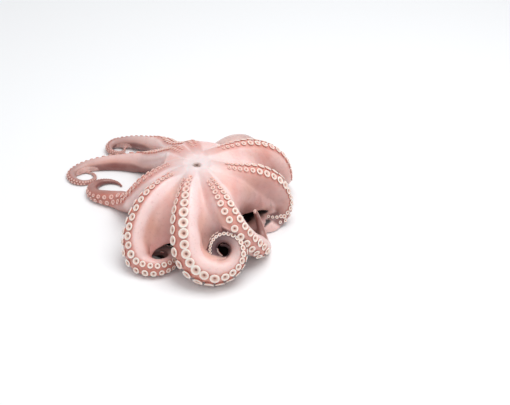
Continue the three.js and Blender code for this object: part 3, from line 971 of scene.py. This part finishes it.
def rings_object(name, rings, closed=False):
    """A piece from rings of points in millimetres, joined in a loop or closed at both ends."""
    rings = np.asarray(rings, float)
    count, sides = rings.shape[:2]
    points = rings.reshape(-1, 3)
    faces = []
    for r in range(count if closed else count - 1):
        here, there = r * sides, (r + 1) % count * sides
        for k in range(sides):
            after = (k + 1) % sides
            faces.append((here + k, here + after, there + after, there + k))
    if not closed:
        points = np.vstack([points, rings[0].mean(axis=0), rings[-1].mean(axis=0)])
        faces += [((k + 1) % sides, k, len(points) - 2) for k in range(sides)]
        last = (count - 1) * sides
        faces += [(last + k, last + (k + 1) % sides, len(points) - 1) for k in range(sides)]
    made = mesh_object(name, points, faces)
    shell = bmesh.new()
    shell.from_mesh(made.data)
    if shell.calc_volume(signed=True) < 0:
        bmesh.ops.reverse_faces(shell, faces=shell.faces)
    shell.to_mesh(made.data)
    shell.free()
    return made


def simple_flesh(name, light, dark, scale, roughness, subsurface=0.15):
    """Wet flesh of two mottled colours."""
    made, shader, wire = flesh_material(name, subsurface, 0.15)
    place = wire.node("ShaderNodeTexCoord", output=3)
    mottle = wire.noise(place, scale, 4.0, 0.6)
    wire.tree.links.new(((mottle - 0.35) * 3.0).within().blend(color(light), color(dark)).socket,
                        shader.inputs["Base Color"])
    wire.tree.links.new((mottle * 0.2 + roughness).socket, shader.inputs["Roughness"])
    shader.inputs["Coat Weight"].default_value = 0.4
    bumps = {"Strength": 0.3, "Distance": 0.0006, "Height": mottle}
    wire.tree.links.new(wire.node("ShaderNodeBump", inputs=bumps).socket, shader.inputs["Normal"])
    return made


mouth = np.array(MOUTH) + [0, 0, LIP_LIFT]
round_mouth = np.linspace(0, 2 * math.pi, LIP_FOLDS * 8, endpoint=False)
round_lip = np.linspace(0, 2 * math.pi, 16, endpoint=False)
lip_rings = []
for a in round_mouth:
    fold = (0.5 + 0.5 * math.cos(a * LIP_FOLDS)) * (0.8 + 0.2 * math.cos(3 * a))
    thick = LIP_THICKNESS * (1 - LIP_FOLD_DEPTH * fold)
    reach = LIP_RING + 0.35 * math.cos(2 * a + 0.6) + np.cos(round_lip) * thick * 0.8
    ring = np.stack([reach * math.cos(a), reach * math.sin(a), np.sin(round_lip) * thick], axis=1)
    lip_rings.append(ring + mouth)
lips = rings_object("lips", lip_rings, closed=True)
lips.data.materials.append(simple_flesh("lip_flesh", "#C9B3AB", "#8F726A", 420.0, 0.32))

horn = bpy.data.materials.new("horn")
horn.use_nodes = True
shader, wire = horn.node_tree.nodes["Principled BSDF"], Wire(horn.node_tree)
place = wire.node("ShaderNodeTexCoord", output=3)
streaks = wire.noise(place, 900.0, 3.0)
wire.tree.links.new(streaks.blend(color("#120B09"), color("#3A241B")).socket, shader.inputs["Base Color"])
wire.tree.links.new((streaks * 0.2 + 0.22).socket, shader.inputs["Roughness"])
beak = []
for number, (lean, length, width, hook) in enumerate(BEAK_JAWS):
    out = np.array([math.cos(lean + 0.5), math.sin(lean + 0.5), 0.0])
    side = np.array([-out[1], out[0], 0.0])
    jaw_rings = []
    for t in np.linspace(0, 1, 14):
        girth = width * (1 - t**1.6) + 0.12
        bend = out * (1.1 * math.cos(t * math.pi / 2) - (hook - 2.0) * t) * (1.0 if number == 0 else 0.8)
        middle = np.array(MOUTH) + [0, 0, BEAK_BASE + length * t] + bend
        round_jaw = np.linspace(0, 2 * math.pi, 14, endpoint=False)
        across_jaw = side * (np.cos(round_jaw) * girth)[:, None]
        through_jaw = out * (np.sin(round_jaw) * girth * JAW_FLATNESS)[:, None]
        jaw_rings.append(middle + across_jaw + through_jaw)
    beak.append(rings_object("jaw_%d" % (number + 1), jaw_rings))
    beak[-1].data.materials.append(horn)


# --- The eyes ------------------------------------------------------------------------------------------
# Two cool, silvery eyes with a dark slit for a pupil, each in a fold of skin on the side of the head.

EYE_BALL = 8.0
EYE_STANDS_OUT = 4.4
LID_RING = 6.6
LID_THICKNESS = 1.9
LID_STANDS_OUT = 4.2
SLIT = (0.62, 0.13)  # half length and half height, in ball radii

eye_finish, shader, wire = flesh_material("eye", 0.0, 0.03)
iris = wire.attribute("iris")
place = wire.node("ShaderNodeTexCoord", output=3)
flecks = wire.noise(place, 900.0, 3.0)
silvery = (flecks * 1.2 - 0.1).within().blend(color("#8D9BB8"), color("#D8DCE4"))
silvery = ((iris - 0.55) * 5.0).within().blend(silvery, color("#C9B9B4"))
silvery = wire.attribute("pupil").blend(silvery, color("#0B0C12"))
wire.tree.links.new(silvery.socket, shader.inputs["Base Color"])
wire.tree.links.new((flecks * 0.15 + 0.12).socket, shader.inputs["Roughness"])
shader.inputs["Coat Weight"].default_value = 1.0
lid_finish = simple_flesh("lid_flesh", "#D3ADA6", "#8A5A55", 300.0, 0.3)
eye_pieces = []
for number, eye in enumerate(EYES):
    out = unit(np.array(eye, float) - np.array(HEAD[0], float) * [1, 1, 0.9])
    level = unit(np.cross([0.0, 0.0, 1.0], out))
    up = np.cross(out, level)
    centre = np.array(eye, float) + out * EYE_STANDS_OUT
    polar, round_eye = np.linspace(0.02, math.pi - 0.02, 40), np.linspace(0, 2 * math.pi, 48, endpoint=False)
    ball_rings = [
        centre + EYE_BALL * (out * math.cos(p) + math.sin(p) * (np.cos(round_eye)[:, None] * level
                                                                + np.sin(round_eye)[:, None] * up))
        for p in polar
    ]
    ball = rings_object("eye_%d" % (number + 1), ball_rings)
    ball.data.materials.append(eye_finish)
    from_centre = (rows_of(ball.data, "co") / METRE - centre) / EYE_BALL
    sideways, upwards = from_centre @ level, from_centre @ up
    slit = (sideways / SLIT[0]) ** 2 + (upwards / SLIT[1]) ** 2
    keep(ball.data, "pupil", ease((1.15 - slit) / 0.3) * (from_centre @ out > 0))
    keep(ball.data, "iris", np.hypot(sideways, upwards))
    lid_rings = []
    for a in round_eye:
        spoke = level * math.cos(a) * 1.12 + up * math.sin(a) * 0.86
        thick = LID_THICKNESS * (1 + 0.12 * math.sin(5 * a))
        lid_middle = centre + out * LID_STANDS_OUT + spoke * LID_RING
        round_lid = spoke * (np.cos(round_lip) * thick)[:, None] + out * (np.sin(round_lip) * thick)[:, None]
        lid_rings.append(lid_middle + round_lid)
    lid = rings_object("lid_%d" % (number + 1), lid_rings, closed=True)
    lid.data.materials.append(lid_finish)
    eye_pieces += [ball, lid]


# --- The siphon ----------------------------------------------------------------------------------------
# A short, soft spout that comes out of the mantle's collar beside the head, open at its end.

SIPHON_ROOT, SIPHON_END = (64, 62, 36), (93, 64, 27)
SIPHON_PROFILE = [  # share of the length and radius, out along the spout and back down inside it
    (0.0, 8.5), (0.3, 8.0), (0.6, 7.0), (0.85, 6.0), (0.97, 5.6), (1.0, 4.9), (0.97, 4.2), (0.8, 3.8),
    (0.5, 3.4), (0.45, 1.2),
]

root, end = np.array(SIPHON_ROOT, float), np.array(SIPHON_END, float)
spout_way = unit(end - root)
spout_side = unit(np.cross(spout_way, [0.0, 0.0, 1.0]))
spout_up = np.cross(spout_side, spout_way)
round_spout = np.linspace(0, 2 * math.pi, 32, endpoint=False)
spout_rings = [
    root + (end - root) * t + spout_side * (np.cos(round_spout) * r)[:, None]
    + spout_up * (np.sin(round_spout) * r * (0.85 + 0.05 * math.sin(3 * t)))[:, None]
    for t, r in SIPHON_PROFILE
]
siphon = rings_object("siphon", spout_rings)
siphon.data.materials.append(simple_flesh("siphon_flesh", "#DDBBB2", "#A87A72", 160.0, 0.3))

for piece in [skin, suckers, lips, siphon] + beak + eye_pieces:
    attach(piece, "root")
    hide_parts("octopus")
